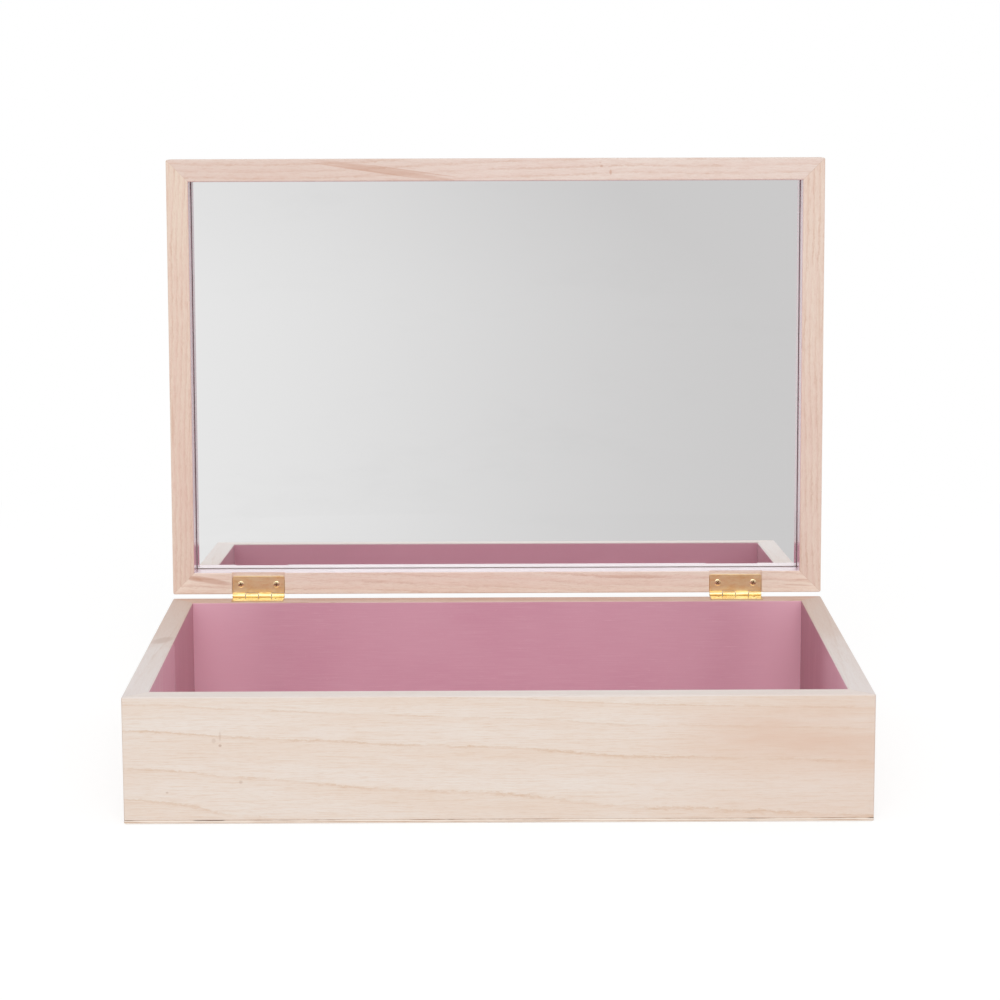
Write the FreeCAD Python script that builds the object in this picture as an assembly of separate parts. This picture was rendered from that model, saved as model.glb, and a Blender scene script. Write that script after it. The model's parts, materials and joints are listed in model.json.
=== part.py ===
import FreeCAD, Part
import math
import os

from FreeCAD import Vector

os.makedirs("parts", exist_ok=True)

# A wooden box with a mirror let into its lid, standing open on two small brass butt hinges.
# Lengths are in millimetres and angles in degrees. X runs to the right, Y to the back and
# Z up. The origin is the middle of the underside, and the front wall faces -Y.

# The box: four mitred walls on a thin plywood panel
box_length = 300.0
box_depth = 200.0
box_wall = 10.0
box_wall_height = 50.5
base_panel_thickness = 1.5

# The lid: four mitred rails under a thin plywood panel, as long and as deep as the box
lid_rail = 10.0
lid_panel_thickness = 1.5
lid_opening = 91.9

# The mirror lies deep inside the lid, taped to the panel
mirror_recess = 12.5
mirror_thickness = 3.0
mirror_edge_gap = 0.2
mirror_seamed_edge = 0.15
tape_thickness = 1.0
tape_width = 20.0
tape_length = 150.0
tape_inset = 39.5

# Sanded edges of the woodwork
corner_arris = 0.5
rim_arris = 0.4
panel_arris = 0.4
seam_chamfer = 0.2

# The hinges: each leaf is a plate rolled round the pin, with two knuckles of its own
hinge_inset = 39.5
hinge_length = 24.0
knuckle_count = 4
knuckle_gap = 0.3
leaf_thickness = 0.55
leaf_reach = 9.0
leaf_corner = 1.0
leaf_arris = 0.2
pin_radius = 0.5
pin_gap = 0.05
curl_slit = 0.1
notch_gap = 0.3
pin_setback = 0.8
closed_gap = 0.2
mortise_side_gap = 0.25

# The cross-head wood screws, two to a leaf
screw_spacing = 16.4
screw_reach = 5.2
screw_length = 8.0
screw_head_radius = 1.5
screw_shank_radius = 0.7
screw_tip = 1.4
screw_gap = 0.03
cross_span = 1.8
cross_width = 0.4
cross_depth = 0.4

# Places that follow from the sizes above
rim_z = base_panel_thickness + box_wall_height
lid_rim_z = rim_z + closed_gap
mirror_face_z = lid_rim_z + mirror_recess
tape_z = mirror_face_z + mirror_thickness
lid_seam_z = tape_z + tape_thickness
lid_top_z = lid_seam_z + lid_panel_thickness
mirror_length = box_length - 2 * lid_rail - 2 * mirror_edge_gap
mirror_depth = box_depth - 2 * lid_rail - 2 * mirror_edge_gap
tape_places = {"left": tape_inset - mirror_length / 2, "middle": 0, "right": mirror_length / 2 - tape_inset}
back_y = box_depth / 2
bore_radius = pin_radius + pin_gap
barrel_radius = bore_radius + leaf_thickness
pin_y = back_y + pin_setback
pin_z = rim_z + barrel_radius
mortise_depth = 2 * barrel_radius - closed_gap
knuckle_length = hinge_length / knuckle_count
hinge_places = {"left": -(box_length / 2 - hinge_inset), "right": box_length / 2 - hinge_inset}
screw_places = {"left": -screw_spacing / 2, "right": screw_spacing / 2}

# How far a cutter runs past the face it opens
overshoot = 1.0

along_x = Vector(1, 0, 0)
upwards = Vector(0, 0, 1)
middle = Vector(0, 0, 0)


def block(x_low, x_high, y_low, y_high, z_low, z_high):
    """A box between two corners."""
    corner = Vector(x_low, y_low, z_low)
    return Part.makeBox(x_high - x_low, y_high - y_low, z_high - z_low, corner)


def centred_block(length, depth, z_low, z_high):
    """A box centred on the Z axis, between two heights given in either order."""
    low = min(z_low, z_high)
    high = max(z_low, z_high)
    return block(-length / 2, length / 2, -depth / 2, depth / 2, low, high)


def prism_along_z(corners, z_low, z_high):
    """A polygon in plan, drawn up between two heights."""
    low = min(z_low, z_high)
    high = max(z_low, z_high)
    outline = Part.makePolygon([Vector(x, y, low) for x, y in corners + corners[:1]])
    return Part.Face(outline).extrude(Vector(0, 0, high - low))


def only_solid(shape):
    """The one solid of a boolean's result, without leftover seams."""
    cleaned = shape.removeSplitter()
    if len(cleaned.Solids) != 1:
        raise ValueError("expected one solid, found %d" % len(cleaned.Solids))
    return cleaned.Solids[0]


def upright_edges(shape):
    """The straight edges that run along Z."""
    found = []
    for edge in shape.Edges:
        first, last = edge.Vertexes[0].Point, edge.Vertexes[-1].Point
        if math.hypot(first.x - last.x, first.y - last.y) < 1e-6 and abs(first.z - last.z) > 1e-6:
            found.append(edge)
    return found


def level_edges(shape, z, length, depth):
    """The edges at one height that lie on or beside the outline of a length by depth rectangle."""
    found = []
    for edge in shape.Edges:
        box = edge.BoundBox
        level = abs(box.ZMin - z) < 1e-6 and abs(box.ZMax - z) < 1e-6
        reach_x = max(abs(box.XMin), abs(box.XMax))
        reach_y = max(abs(box.YMin), abs(box.YMax))
        beside = abs(reach_x - length / 2) < 1e-6 or abs(reach_y - depth / 2) < 1e-6
        inside = reach_x < length / 2 + 1e-6 and reach_y < depth / 2 + 1e-6
        if level and beside and inside:
            found.append(edge)
    return found


def mitred_frame(wall, rim, seam):
    """The four walls of a frame, by side. Its rim is open and its seam meets a panel."""
    hollow_length = box_length - 2 * wall
    hollow_depth = box_depth - 2 * wall
    outside = centred_block(box_length, box_depth, rim, seam)
    outside = outside.makeChamfer(corner_arris, upright_edges(outside))
    ring = outside.cut(centred_block(hollow_length, hollow_depth, rim, seam))
    rim_edges = level_edges(ring, rim, box_length, box_depth)
    rim_edges += level_edges(ring, rim, hollow_length, hollow_depth)
    ring = ring.makeChamfer(rim_arris, rim_edges)
    ring = ring.makeChamfer(seam_chamfer, level_edges(ring, seam, box_length, box_depth))

    # Each mitre runs through an outer corner and the inner corner beside it
    outer_x, outer_y = box_length / 2 + overshoot, box_depth / 2 + overshoot
    inner_x, inner_y = hollow_length / 2 - overshoot, hollow_depth / 2 - overshoot
    plans = {
        "front": [(-outer_x, -outer_y), (outer_x, -outer_y), (inner_x, -inner_y), (-inner_x, -inner_y)],
        "back": [(-outer_x, outer_y), (outer_x, outer_y), (inner_x, inner_y), (-inner_x, inner_y)],
        "left": [(-outer_x, -outer_y), (-inner_x, -inner_y), (-inner_x, inner_y), (-outer_x, outer_y)],
        "right": [(outer_x, -outer_y), (inner_x, -inner_y), (inner_x, inner_y), (outer_x, outer_y)],
    }
    walls = {}
    for side, plan in plans.items():
        walls[side] = only_solid(ring.common(prism_along_z(plan, rim, seam)))
    return walls


def overlaid_panel(seam, face):
    """A plywood panel that covers a frame's seam edge, with the corner of its open face eased."""
    panel = centred_block(box_length, box_depth, seam, face)
    panel = panel.makeChamfer(corner_arris, upright_edges(panel))
    panel = panel.makeChamfer(panel_arris, level_edges(panel, face, box_length, box_depth))
    panel = panel.makeChamfer(seam_chamfer, level_edges(panel, seam, box_length, box_depth))
    return only_solid(panel)


def mirror():
    """The glass, clear of the rails all round, with its edges seamed."""
    glass = centred_block(mirror_length, mirror_depth, mirror_face_z, tape_z)
    return only_solid(glass.makeChamfer(mirror_seamed_edge, glass.Edges))


def mirror_tape(x):
    """A strip of double-sided tape between the mirror's back and the lid's panel."""
    half_width = tape_width / 2
    half_length = tape_length / 2
    return block(x - half_width, x + half_width, -half_length, half_length, tape_z, lid_seam_z)


def knuckle_span(index):
    """The two ends of a knuckle along the pin, with half a gap off each end that has a neighbour."""
    low = -hinge_length / 2 + index * knuckle_length
    high = low + knuckle_length
    if index > 0:
        low += knuckle_gap / 2
    if index < knuckle_count - 1:
        high -= knuckle_gap / 2
    return low, high


def rolled_knuckle(index):
    """The plate's edge rolled round the pin, back to a slit above the plate."""
    low, high = knuckle_span(index)
    start = Vector(low, 0, 0)
    barrel = Part.makeCylinder(barrel_radius, high - low, start, along_x)
    bore = Part.makeCylinder(bore_radius, high - low, start, along_x)

    # The roll stops where its outer edge would touch the plate, seen along the pin
    end_rise = (barrel_radius - leaf_thickness - curl_slit) / barrel_radius
    end_angle = math.pi + math.asin(end_rise)
    far = 2 * barrel_radius
    end_point = Vector(low, far * math.cos(end_angle), far * math.sin(end_angle))
    corners = [start, end_point, Vector(low, -far, -far), Vector(low, 0, -far)]
    opening = Part.Face(Part.makePolygon(corners + [start])).extrude(Vector(high - low, 0, 0))
    return barrel.cut(bore).cut(opening)


def screw_profile_turned(points):
    """A closed outline of (radius, height) points, turned about the Z axis."""
    corners = [Vector(radius, 0, height) for radius, height in points]
    outline = Part.makePolygon(corners + corners[:1])
    return Part.Face(outline).revolve(middle, upwards, 360)


def countersink():
    """What a screw's head takes out of a leaf. The leaf's open face lies at height 0."""
    head = screw_head_radius + screw_gap
    shank = screw_shank_radius + screw_gap
    below = -leaf_thickness - overshoot
    return screw_profile_turned([
        (0, overshoot),
        (head, overshoot),
        (head, 0),
        (shank, -leaf_thickness),
        (shank, below),
        (0, below),
    ])


def pilot_hole():
    """The hole in the wood below a screw's head, measured down from the leaf's open face."""
    depth = screw_length + screw_gap
    return Part.makeCylinder(screw_shank_radius + screw_gap, depth, Vector(0, 0, -depth))


def wood_screw():
    """A countersunk screw with a cross recess, whose head is as deep as the leaf is thick."""
    body = screw_profile_turned([
        (0, 0),
        (screw_head_radius, 0),
        (screw_shank_radius, -leaf_thickness),
        (screw_shank_radius, screw_tip - screw_length),
        (0, -screw_length),
    ])
    half_span, half_width = cross_span / 2, cross_width / 2
    body = body.cut(block(-half_span, half_span, -half_width, half_width, -cross_depth, overshoot))
    body = body.cut(block(-half_width, half_width, -half_span, half_span, -cross_depth, overshoot))
    return only_solid(body)


def hinge_leaf(own_knuckles):
    """A leaf about the pin's axis, with its plate below the pin and towards the front."""
    plate_top = leaf_thickness - barrel_radius
    plate = block(-hinge_length / 2, hinge_length / 2, -leaf_reach, 0, -barrel_radius, plate_top)
    free_corners = [edge for edge in upright_edges(plate) if edge.BoundBox.YMax < -leaf_reach / 2]
    plate = plate.makeFillet(leaf_corner, free_corners)
    plate = plate.makeChamfer(leaf_arris, free_rim_edges(plate, plate_top))
    for index in range(knuckle_count):
        low, high = knuckle_span(index)
        if index in own_knuckles:
            plate = plate.fuse(rolled_knuckle(index))
        else:
            notch_low = low - (knuckle_gap if index > 0 else overshoot)
            notch_high = high + (knuckle_gap if index < knuckle_count - 1 else overshoot)
            notch_front = -(barrel_radius + notch_gap)
            plate = plate.cut(block(notch_low, notch_high, notch_front, overshoot, -far_down(), 0))
    for x in screw_places.values():
        plate = plate.cut(moved(countersink(), Vector(x, -screw_reach, plate_top)))
    return only_solid(plate)


def far_down():
    """Below everything that a leaf has."""
    return barrel_radius + overshoot


def free_rim_edges(plate, z):
    """The edges of a plate's open face, apart from the one that the knuckles roll from."""
    found = []
    for edge in plate.Edges:
        box = edge.BoundBox
        level = abs(box.ZMin - z) < 1e-6 and abs(box.ZMax - z) < 1e-6
        if level and box.YMin < -1e-6:
            found.append(edge)
    return found


def hinge_pin():
    """A plain pin, cut off flush with the ends of the barrel."""
    return Part.makeCylinder(pin_radius, hinge_length, Vector(-hinge_length / 2, 0, 0), along_x)


def moved(shape, step):
    """A copy of a shape, moved."""
    copy = shape.copy()
    copy.translate(step)
    return copy


def at_hinge(shape, hinge_x):
    """A shape drawn about the pin's axis, put at its hinge."""
    return moved(shape, Vector(hinge_x, pin_y, pin_z))


def turned_over(shape):
    """A shape drawn for the box's leaf, turned over about the pin for the lid's leaf."""
    return shape.mirror(middle, upwards)


def opened(shape):
    """A lid piece drawn closed, swung up to where the lid stands open."""
    copy = shape.copy()
    copy.rotate(Vector(0, pin_y, pin_z), along_x, -lid_opening)
    return copy


def seated_screws(drawn):
    """A screw, or its hole, at each screw place of one leaf, about the pin's axis."""
    plate_top = leaf_thickness - barrel_radius
    return {name: moved(drawn, Vector(x, -screw_reach, plate_top)) for name, x in screw_places.items()}


def mortise(hinge_x):
    """The slot across the lid's back rail that both leaves fold into."""
    half = hinge_length / 2 + mortise_side_gap
    front = back_y - lid_rail - overshoot
    low = lid_rim_z - overshoot
    return block(hinge_x - half, hinge_x + half, front, back_y + overshoot, low, lid_rim_z + mortise_depth)


def box_pieces():
    """The walls and the panel of the box, with the back wall drilled for its screws."""
    walls = mitred_frame(box_wall, rim_z, base_panel_thickness)
    for hinge_x in hinge_places.values():
        for hole in seated_screws(pilot_hole()).values():
            walls["back"] = walls["back"].cut(at_hinge(hole, hinge_x))
    walls["back"] = only_solid(walls["back"])
    pieces = {"box_%s_wall" % side: wall for side, wall in walls.items()}
    pieces["box_base_panel"] = overlaid_panel(base_panel_thickness, 0)
    return pieces


def lid_pieces():
    """The lid's woodwork and mirror, drawn closed, with the back rail cut for the hinges."""
    rails = mitred_frame(lid_rail, lid_rim_z, lid_seam_z)
    for hinge_x in hinge_places.values():
        rails["back"] = rails["back"].cut(mortise(hinge_x))
        for hole in seated_screws(pilot_hole()).values():
            rails["back"] = rails["back"].cut(at_hinge(turned_over(hole), hinge_x))
    rails["back"] = only_solid(rails["back"])
    pieces = {"lid_%s_rail" % side: rail for side, rail in rails.items()}
    pieces["lid_top_panel"] = overlaid_panel(lid_seam_z, lid_top_z)
    pieces["mirror"] = mirror()
    for place, x in tape_places.items():
        pieces["mirror_tape_" + place] = mirror_tape(x)
    return pieces


def hinge_pieces():
    """The hinges' pieces that stay with the box, and those that swing with the lid."""
    lid_knuckles = range(0, knuckle_count, 2)
    box_knuckles = range(1, knuckle_count, 2)
    fixed, swinging = {}, {}
    for side, hinge_x in hinge_places.items():
        hinge = "hinge_%s_" % side
        fixed[hinge + "box_leaf"] = at_hinge(hinge_leaf(box_knuckles), hinge_x)
        fixed[hinge + "pin"] = at_hinge(hinge_pin(), hinge_x)
        swinging[hinge + "lid_leaf"] = at_hinge(turned_over(hinge_leaf(lid_knuckles)), hinge_x)
        for place, screw in seated_screws(wood_screw()).items():
            fixed["%sbox_screw_%s" % (hinge, place)] = at_hinge(screw, hinge_x)
            swinging["%slid_screw_%s" % (hinge, place)] = at_hinge(turned_over(screw), hinge_x)
    return fixed, swinging


fixed_hardware, swinging_hardware = hinge_pieces()
fixed_pieces = {**box_pieces(), **fixed_hardware}
swinging_pieces = {**lid_pieces(), **swinging_hardware}

for node, shape in fixed_pieces.items():
    shape.exportStep("parts/%s.step" % node)
for node, shape in swinging_pieces.items():
    opened(shape).exportStep("parts/%s.step" % node)
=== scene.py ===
import json
import math

import bpy
from mathutils import Matrix, Vector


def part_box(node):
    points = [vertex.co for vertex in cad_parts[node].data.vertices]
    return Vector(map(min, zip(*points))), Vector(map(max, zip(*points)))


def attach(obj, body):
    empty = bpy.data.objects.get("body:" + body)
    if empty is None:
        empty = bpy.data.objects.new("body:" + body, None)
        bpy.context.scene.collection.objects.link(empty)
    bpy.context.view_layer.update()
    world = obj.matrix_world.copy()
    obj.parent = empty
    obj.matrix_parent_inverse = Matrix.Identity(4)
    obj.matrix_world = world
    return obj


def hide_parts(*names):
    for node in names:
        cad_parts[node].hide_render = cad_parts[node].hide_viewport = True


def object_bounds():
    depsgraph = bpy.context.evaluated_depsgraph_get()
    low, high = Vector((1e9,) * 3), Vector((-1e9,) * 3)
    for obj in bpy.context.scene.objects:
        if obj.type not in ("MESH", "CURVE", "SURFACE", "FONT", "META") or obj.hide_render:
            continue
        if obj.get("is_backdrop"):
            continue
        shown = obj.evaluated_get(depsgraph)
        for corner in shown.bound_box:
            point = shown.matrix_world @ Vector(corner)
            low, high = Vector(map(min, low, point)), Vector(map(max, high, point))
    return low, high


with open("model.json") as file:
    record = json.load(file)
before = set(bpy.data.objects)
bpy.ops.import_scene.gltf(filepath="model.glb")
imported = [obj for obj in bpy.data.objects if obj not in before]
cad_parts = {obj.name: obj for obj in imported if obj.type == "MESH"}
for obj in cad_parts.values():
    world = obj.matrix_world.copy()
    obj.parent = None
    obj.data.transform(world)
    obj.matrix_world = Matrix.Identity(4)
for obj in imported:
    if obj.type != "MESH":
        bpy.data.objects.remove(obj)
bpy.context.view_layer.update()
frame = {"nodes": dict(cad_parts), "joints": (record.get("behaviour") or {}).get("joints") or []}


# The box's four walls: boards of pale softwood, mitred at the corners and glued. The outside
# is bare sanded wood, whose growth rings run along each board. The inside is brushed with
# one coat of satin paint, up to the rounded inner edge of the rim.

# Finishes are laid out in millimetres, and pieces in metres.
PER_METRE = 1000


def chip(red, green, blue):
    """A colour given as a paint chip's values from 0 to 255, in linear light."""
    shares = [value / 255 for value in (red, green, blue)]
    curve = [s / 12.92 if s < 0.04 else ((s + 0.055) / 1.055) ** 2.4 for s in shares]
    return (*curve, 1.0)


# How far apart two noises lie whose seeds differ by one, so that no two of them look alike.
NOISE_SHIFT = (7.3, 3.1, 5.7)


class Wire:
    """A socket in a node tree. Sums of wires and numbers add Math nodes to that tree."""

    def __init__(self, socket):
        self.socket = socket

    def node(self, kind, settings=(), inputs=(), output=0):
        """Adds any node to this socket's tree: settings first, then values or links."""
        made = self.socket.id_data.nodes.new(kind)
        for name, value in dict(settings).items():
            if name == "points":
                fill_curve(made.mapping, *value)
            else:
                setattr(made, name, value)
        for name, value in dict(inputs).items():
            feed(made.inputs[name], value)
        return Wire(made.outputs[output])

    def maths(self, operation, *others):
        """One step of maths on this wire and the others."""
        inputs = enumerate((self, *others))
        return self.node("ShaderNodeMath", {"operation": operation}, inputs)

    def __add__(self, other):
        return self.maths("ADD", other)

    def __sub__(self, other):
        return self.maths("SUBTRACT", other)

    def __rsub__(self, other):
        return self.node("ShaderNodeMath", {"operation": "SUBTRACT"}, {0: other, 1: self})

    def __mul__(self, other):
        return self.maths("MULTIPLY", other)

    def __truediv__(self, other):
        return self.maths("DIVIDE", other)

    __radd__ = __add__
    __rmul__ = __mul__

    def rise(self, start, end):
        """Goes smoothly from 0 at start to 1 at end."""
        settings = {"interpolation_type": "SMOOTHSTEP", "clamp": True}
        inputs = {"Value": self, "From Min": start, "From Max": end}
        return self.node("ShaderNodeMapRange", settings, inputs)

    def between(self, low, high):
        """Takes a value from 0 to 1 to a value from low to high."""
        return self * (high - low) + low

    def pick(self, first, second):
        """A colour that is the first where this wire is 0 and the second where it is 1."""
        settings = {"data_type": "RGBA", "clamp_factor": True}
        return self.node("ShaderNodeMix", settings, {0: self, 6: first, 7: second}, 2)

    def parts(self):
        """The three numbers of a vector."""
        split = self.node("ShaderNodeSeparateXYZ", inputs={0: self}).socket.node
        return [Wire(socket) for socket in split.outputs]

    def noise(self, stretch, detail=2.0, roughness=0.5, seed=0):
        """Noise whose grain is about as long as stretch says, in millimetres a side."""
        sizes = tuple(1 / size for size in stretch)
        shift = tuple(step * seed for step in NOISE_SHIFT)
        inputs = {0: self, 1: sizes, 2: shift}
        moved = self.node("ShaderNodeVectorMath", {"operation": "MULTIPLY_ADD"}, inputs)
        inputs = {"Vector": moved, "Scale": 1, "Detail": detail, "Roughness": roughness}
        return self.node("ShaderNodeTexNoise", {}, inputs)


def feed(socket, value):
    """Gives an input its link or its value."""
    if isinstance(value, Wire):
        socket.id_data.links.new(value.socket, socket)
    else:
        socket.default_value = value


def fill_curve(mapping, points, handles):
    """Sets a float curve's points, and whether it turns smoothly or sharply there."""
    curve = mapping.curves[0]
    while len(curve.points) < len(points):
        curve.points.new(1, 1)
    for point, (place, value) in zip(curve.points, points):
        point.location = (place, value)
        point.handle_type = handles
    mapping.update()


def new_finish(name):
    """A material, its shader and the place on the object, in millimetres."""
    finish = bpy.data.materials.new(name)
    finish.use_nodes = True
    tree = finish.node_tree
    shader = tree.nodes["Principled BSDF"]
    metres = Wire(tree.nodes.new("ShaderNodeTexCoord").outputs["Object"])
    scale = (PER_METRE, PER_METRE, PER_METRE)
    place = metres.node("ShaderNodeMapping", {}, {"Vector": metres, "Scale": scale})
    return finish, shader, place


def finish_node(node_name, finish):
    """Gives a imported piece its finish."""
    slots = frame["nodes"][node_name].data.materials
    slots.clear()
    slots.append(finish)


def curve_of(wire, points, handles="AUTO"):
    """A value read from a curve through the points, each of them a place and its value."""
    low, high = points[0][0], points[-1][0]
    top = max(value for _, value in points)
    scaled = [((place - low) / (high - low), value / top) for place, value in points]
    inputs = {"Value": (wire - low) / (high - low)}
    return wire.node("ShaderNodeFloatCurve", {"points": (scaled, handles)}, inputs) * top


def bump(height, strength, distance):
    """A surface normal from a height, with its depth in millimetres."""
    inputs = {"Height": height, "Strength": strength, "Distance": distance / PER_METRE}
    return height.node("ShaderNodeBump", {}, inputs)


AXES = "xyz"


def stretch_along(axis, length, width):
    """Grain that is long on one axis and narrow on the other two."""
    return tuple(length if name == axis else width for name in AXES)


# How wide, in millimetres, the dark line at the end of a year's growth is, and the warm
# wood that leads up to it. Then how far a ring strays, in long waves and in short ones.
LINE_WIDTH = 0.4
LEAD_WIDTH = 1.6
LONG_WAVES = 1.6
SHORT_WAVES = 2.1


def wood(place, axis, rings, spacing, tones, seed, boldness=1.0, length=1.0):
    """Colour and height of bare wood, from a wire that has a growth ring at each whole number."""
    pale, warm, line = tones
    wander = place.noise(stretch_along(axis, 30 * length, 12), 3, 0.55, seed) - 0.5
    ragged = place.noise(stretch_along(axis, 2.4, 1.3), 3, 0.75, seed + 1) - 0.5
    rings = rings + wander * (LONG_WAVES / spacing) + ragged * (SHORT_WAVES / spacing)
    year = rings.maths("FRACT")
    which = (rings + 0.5).maths("FLOOR")
    luck = which.node("ShaderNodeTexWhiteNoise", {"noise_dimensions": "1D"}, {"W": which})
    runs = place.noise(stretch_along(axis, 26, 7), 3, 0.65, seed + 2)
    beads = place.noise(stretch_along(axis, 4, 0.5), 3, 0.7, seed + 7)
    strength = luck.between(0.6, 1.0) * runs.rise(0.36, 0.58).between(0.15, 1.0)
    line_share = LINE_WIDTH / spacing
    lead_share = min(LEAD_WIDTH / spacing, 0.4)
    core = year.rise(1 - line_share * 2.2, 1 - line_share * 0.6) + year.rise(line_share * 1.2, 0.0)
    core = core.maths("MINIMUM", 1.0) * beads.rise(0.34, 0.62).between(0.15, 1.0)
    lead = year.rise(1 - lead_share, 1.0) + year.rise(lead_share * 0.4, 0.0)
    late = (core * 0.6 + lead * 0.17) * strength * boldness
    blotch = place.noise(stretch_along(axis, 70, 12), 3, 0.55, seed + 3)
    fibre = place.noise(stretch_along(axis, 15 * length, 0.6), 4, 0.7, seed + 4)
    hair = place.noise(stretch_along(axis, 4.5 * length, 0.3), 3, 0.7, seed + 5)
    warmth = blotch * 0.8 + (fibre - 0.5) * 0.7 + year.rise(0.25, 0.9) * 0.14
    body = warmth.rise(0.05, 0.85).pick(pale, warm)
    dashes = place.noise(stretch_along(axis, 5, 0.14), 1, 0.5, seed + 6)
    pores = dashes.rise(0.63, 0.75) * runs.between(0.4, 1.0) * 0.25
    streaks = fibre.rise(0.5, 0.7) * 0.16 + hair.rise(0.48, 0.7) * 0.2 + pores
    darkest = late.maths("MINIMUM", 1.0)
    colour = (darkest + streaks * (1 - darkest)).pick(body, line)
    height = hair * 0.6 + fibre * 0.35 - pores - darkest * 0.3
    return colour, height


def with_marks(colour, along, across, marks, tone, shown=1.0):
    """Adds a board's own knots and streaks, each a soft oval drawn at its place and slope."""
    for mark_along, mark_across, length, width, slope, depth in marks:
        far = (along - mark_along) / length
        off = (across - mark_across - (along - mark_along) * slope) / width
        colour = ((far * far + off * off).rise(1.0, 0.1) * depth * shown).pick(colour, tone)
    return colour


# The paint where it lies full, from its deeper to its paler clouds, and in its strokes. Then
# a painted greyish sheen for the side walls, and paler paint as painted light, lifting the shade in the
# back corners and inside the front board.
PAINT_DEEP = chip(216, 160, 178)
PAINT_PALE = chip(222, 170, 186)
PAINT_STROKE = chip(230, 187, 199)
PAINT_SIDE_SHEEN = chip(216, 198, 200)
PAINT_CORNER_LIGHT = chip(246, 196, 211)
PAINT_FRONT_LIGHT = chip(234, 184, 200)

# The least and most roughness of bare wood and of paint, and the paint's satin gloss.
BARE_ROUGHNESS = (0.42, 0.62)
PAINT_ROUGHNESS = (0.3, 0.46)
SATIN_ROUGHNESS = 0.14
SATIN_IOR = 1.6

# The depth of the grain's relief in millimetres, how strongly it shows, and as shares of that
# depth how high the paint stands on the wood and how high its strokes stand.
RELIEF_DEPTH = 0.04
RELIEF_STRENGTH = 0.5
PAINT_THICKNESS = 0.9
STROKE_THICKNESS = 0.6


def brushed_paint(place, axis, seed):
    """Colour, height and roughness of the satin paint, brushed along one axis."""
    strokes = place.noise(stretch_along(axis, 22, 0.45), 3, 0.7, seed)
    clouds = place.noise((45, 45, 45), 1, 0.5, seed + 1)
    thin = place.noise(stretch_along(axis, 9, 0.35), 2, 0.6, seed + 2).rise(0.6, 0.78)
    nibs = place.noise((1.1, 1.1, 1.1), 2, 0.5, seed + 3)
    full = clouds.rise(0.2, 0.8).pick(PAINT_DEEP, PAINT_PALE)
    light = strokes.rise(0.4, 0.72) * 0.34 + thin * 0.6 + nibs.rise(0.66, 0.74) * 0.4
    roughness = strokes.between(*PAINT_ROUGHNESS)
    return light.pick(full, PAINT_STROKE), strokes + nibs * 0.35, roughness


def wear_both(shader, painted, bare, paint, coat=1.0):
    """Puts paint over bare wood where the mask is 1. Coat is how much gloss the paint has."""
    colour, height = bare
    paint_colour, paint_height, paint_roughness = paint
    feed(shader.inputs["Base Color"], painted.pick(colour, paint_colour))
    bare_roughness = height.between(*BARE_ROUGHNESS)
    difference = paint_roughness - bare_roughness
    feed(shader.inputs["Roughness"], bare_roughness + painted * difference)
    lift = paint_height * STROKE_THICKNESS + PAINT_THICKNESS - height
    relief = bump(height + painted * lift, RELIEF_STRENGTH, RELIEF_DEPTH)
    feed(shader.inputs["Normal"], relief)
    feed(shader.inputs["Coat Weight"], painted * coat)
    shader.inputs["Coat Roughness"].default_value = SATIN_ROUGHNESS
    shader.inputs["Coat IOR"].default_value = SATIN_IOR


front_low, front_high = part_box("box_front_wall")
inner_face_x = -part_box("box_left_wall")[1].x * PER_METRE
inner_face_y = -front_high.y * PER_METRE
outer_face_y = -front_low.y * PER_METRE
rim_height = front_high.z * PER_METRE
floor_of_box = front_low.z * PER_METRE
mitre_offset = inner_face_x - inner_face_y

# How far from the rim the paint stops, how much its edge wavers there, and how softly any
# edge of the paint fades, all in millimetres.
BARE_EDGE = 0.2
PAINT_WOBBLE = 0.35
EDGE_SOFTNESS = 0.08


def inner_faces(place):
    """1 on the inner faces of the four walls, and of the lid's rails above them."""
    x, y = place.parts()[:2]
    room_x = inner_face_x - x.maths("ABSOLUTE") + EDGE_SOFTNESS
    room_y = inner_face_y - y.maths("ABSOLUTE") + EDGE_SOFTNESS
    return room_x.maths("MINIMUM", room_y).rise(-EDGE_SOFTNESS, EDGE_SOFTNESS)


def waver(place, seed):
    """How far the brush strayed up or down where it met the rim."""
    return (place.noise((9, 9, 9), 2, 0.6, seed) - 0.5) * PAINT_WOBBLE


def inside_box(place, top_edge, low_edge):
    """Where the box is painted: its inner faces, up to an edge that wavers with the brush."""
    z = place.parts()[2]
    below = (top_edge + waver(place, 3) - z).rise(-EDGE_SOFTNESS, EDGE_SOFTNESS)
    above = (z - low_edge).rise(-EDGE_SOFTNESS, EDGE_SOFTNESS)
    return inner_faces(place) * below * above


# Where the front board's rings cross its left edge, counted from the pith, and how far they
# sink towards the right: each ring is a hyperbola, as in a board sawn beside the heart. The
# pith runs a little below the board, and all rings shift as they go through a board.
HEART_DEPTH = 8.5
HEART_SPREAD = 652
THROUGH_BOARD = 1.3
RING_HEIGHTS = [(0, 0), (19.0, 1), (31.5, 2), (46.9, 3), (57.7, 4), (65.0, 5), (100, 9)]
RINGS_SINK = [
    (-150, 0.0),
    (-125, 0.07),
    (-110, 0.17),
    (-87, 0.25),
    (-42, 0.42),
    (0, 0.53),
    (22, 0.64),
    (45, 0.77),
    (75, 0.83),
    (150, 0.98),
]


def front_board_rings(place):
    """The front board's rings, drawn as that board shows them."""
    x, y, z = place.parts()
    sunk = curve_of(x, RINGS_SINK)
    depth = (y + outer_face_y) * THROUGH_BOARD
    height = z + depth + HEART_DEPTH
    root = (height * height + sunk * (4 * HEART_SPREAD)).maths("SQRT")
    return curve_of((height + root) * 0.5, RING_HEIGHTS)


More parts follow.
